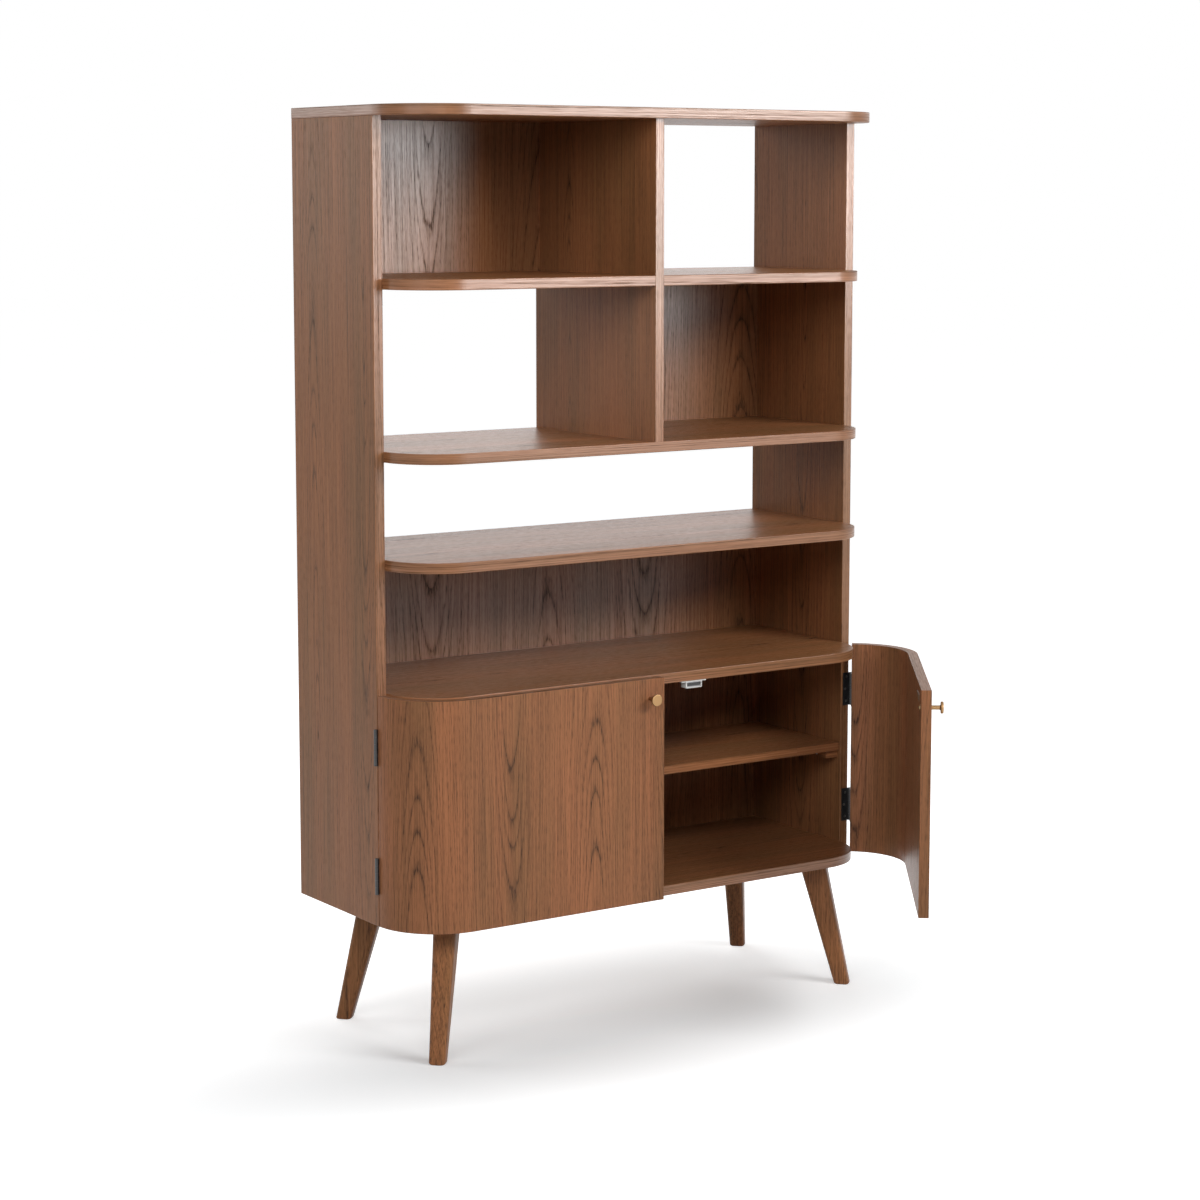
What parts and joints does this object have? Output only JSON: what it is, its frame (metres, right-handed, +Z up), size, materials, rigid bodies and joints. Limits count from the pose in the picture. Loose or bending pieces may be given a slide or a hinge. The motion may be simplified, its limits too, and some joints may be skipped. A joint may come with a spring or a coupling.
{
  "type": "bookcase",
  "caption": "Tall bookcase with open and backed cells, rounded front corners, a low cabinet with doors bent round its corners, and splayed tapered legs.",
  "frame": {"origin": "on the floor, under the middle of the space the bookcase takes up with its right-hand door standing open", "axes": "+Z up, the front faces -Y, +X to the right as seen from the front"},
  "size_m": [1.1276, 0.798, 1.693],
  "materials": {
    "board_wood": "satin",
    "panel_wood": "satin",
    "door_wood": "satin",
    "leg_wood": "satin",
    "cleat_wood": "matt",
    "dowel_wood": "matt",
    "black_metal": "satin",
    "dark_zinc": "satin",
    "zinc": "satin",
    "brass": "polished",
    "white_plastic": "gloss",
    "magnet_ferrite": "matt",
    "bronze_steel": "satin"
  },
  "bodies": {
    "carcass": {"cabinet_back_panel": "panel_wood", "cabinet_bottom_board": "board_wood", "cabinet_inner_shelf": "board_wood", "cabinet_top_board": "board_wood", "catch_magnets": "magnet_ferrite", "catch_pole_plates": "zinc", "catch_screws": "zinc", "centre_divider": "board_wood", "cleat_screws": "zinc", "divider_dowels": "dowel_wood", "front_left_leg": "leg_wood", "front_right_leg": "leg_wood", "hinge_pins": "black_metal", "inner_shelf_screws": "zinc", "left_catch_housing": "white_plastic", "left_hinge_frame_screws": "dark_zinc", "left_lower_hinge_frame_leaf": "black_metal", "left_shelf_cleat": "cleat_wood", "left_side_panel": "board_wood", "left_upper_hinge_frame_leaf": "black_metal", "leg_dowels": "dowel_wood", "leg_insert_nuts": "zinc", "leg_studs": "zinc", "lower_bay_back_panel": "panel_wood", "lower_shelf": "board_wood", "middle_right_back_panel": "panel_wood", "middle_shelf": "board_wood", "rear_left_leg": "leg_wood", "rear_right_leg": "leg_wood", "right_catch_housing": "white_plastic", "right_hinge_frame_screws": "dark_zinc", "right_lower_hinge_frame_leaf": "black_metal", "right_shelf_cleat": "cleat_wood", "right_side_panel": "board_wood", "right_upper_hinge_frame_leaf": "black_metal", "shelf_dowels": "dowel_wood", "top_board": "board_wood", "top_board_dowels": "dowel_wood", "upper_left_back_panel": "panel_wood", "upper_shelf_left": "board_wood", "upper_shelf_right": "board_wood"},
    "left_door": {"left_door": "door_wood", "left_hinge_door_screws": "dark_zinc", "left_knob": "brass", "left_knob_screw": "zinc", "left_lower_hinge_door_leaf": "black_metal", "left_strike_plate": "bronze_steel", "left_strike_screws": "zinc", "left_upper_hinge_door_leaf": "black_metal"},
    "right_door": {"right_door": "door_wood", "right_hinge_door_screws": "dark_zinc", "right_knob": "brass", "right_knob_screw": "zinc", "right_lower_hinge_door_leaf": "black_metal", "right_strike_plate": "bronze_steel", "right_strike_screws": "zinc", "right_upper_hinge_door_leaf": "black_metal"}
  },
  "joints": [
    {"name": "left_door_hinge", "type": "hinge", "parent": "carcass", "child": "left_door", "pos_m": [-0.5603, 0.10479, 0.45125], "axis": [0, 0, -1], "range_deg": [0, 170]},
    {"name": "right_door_hinge", "type": "hinge", "parent": "carcass", "child": "right_door", "pos_m": [0.5175, 0.10479, 0.45125], "axis": [0, 0, 1], "range_deg": [-53, 117]}
  ]
}
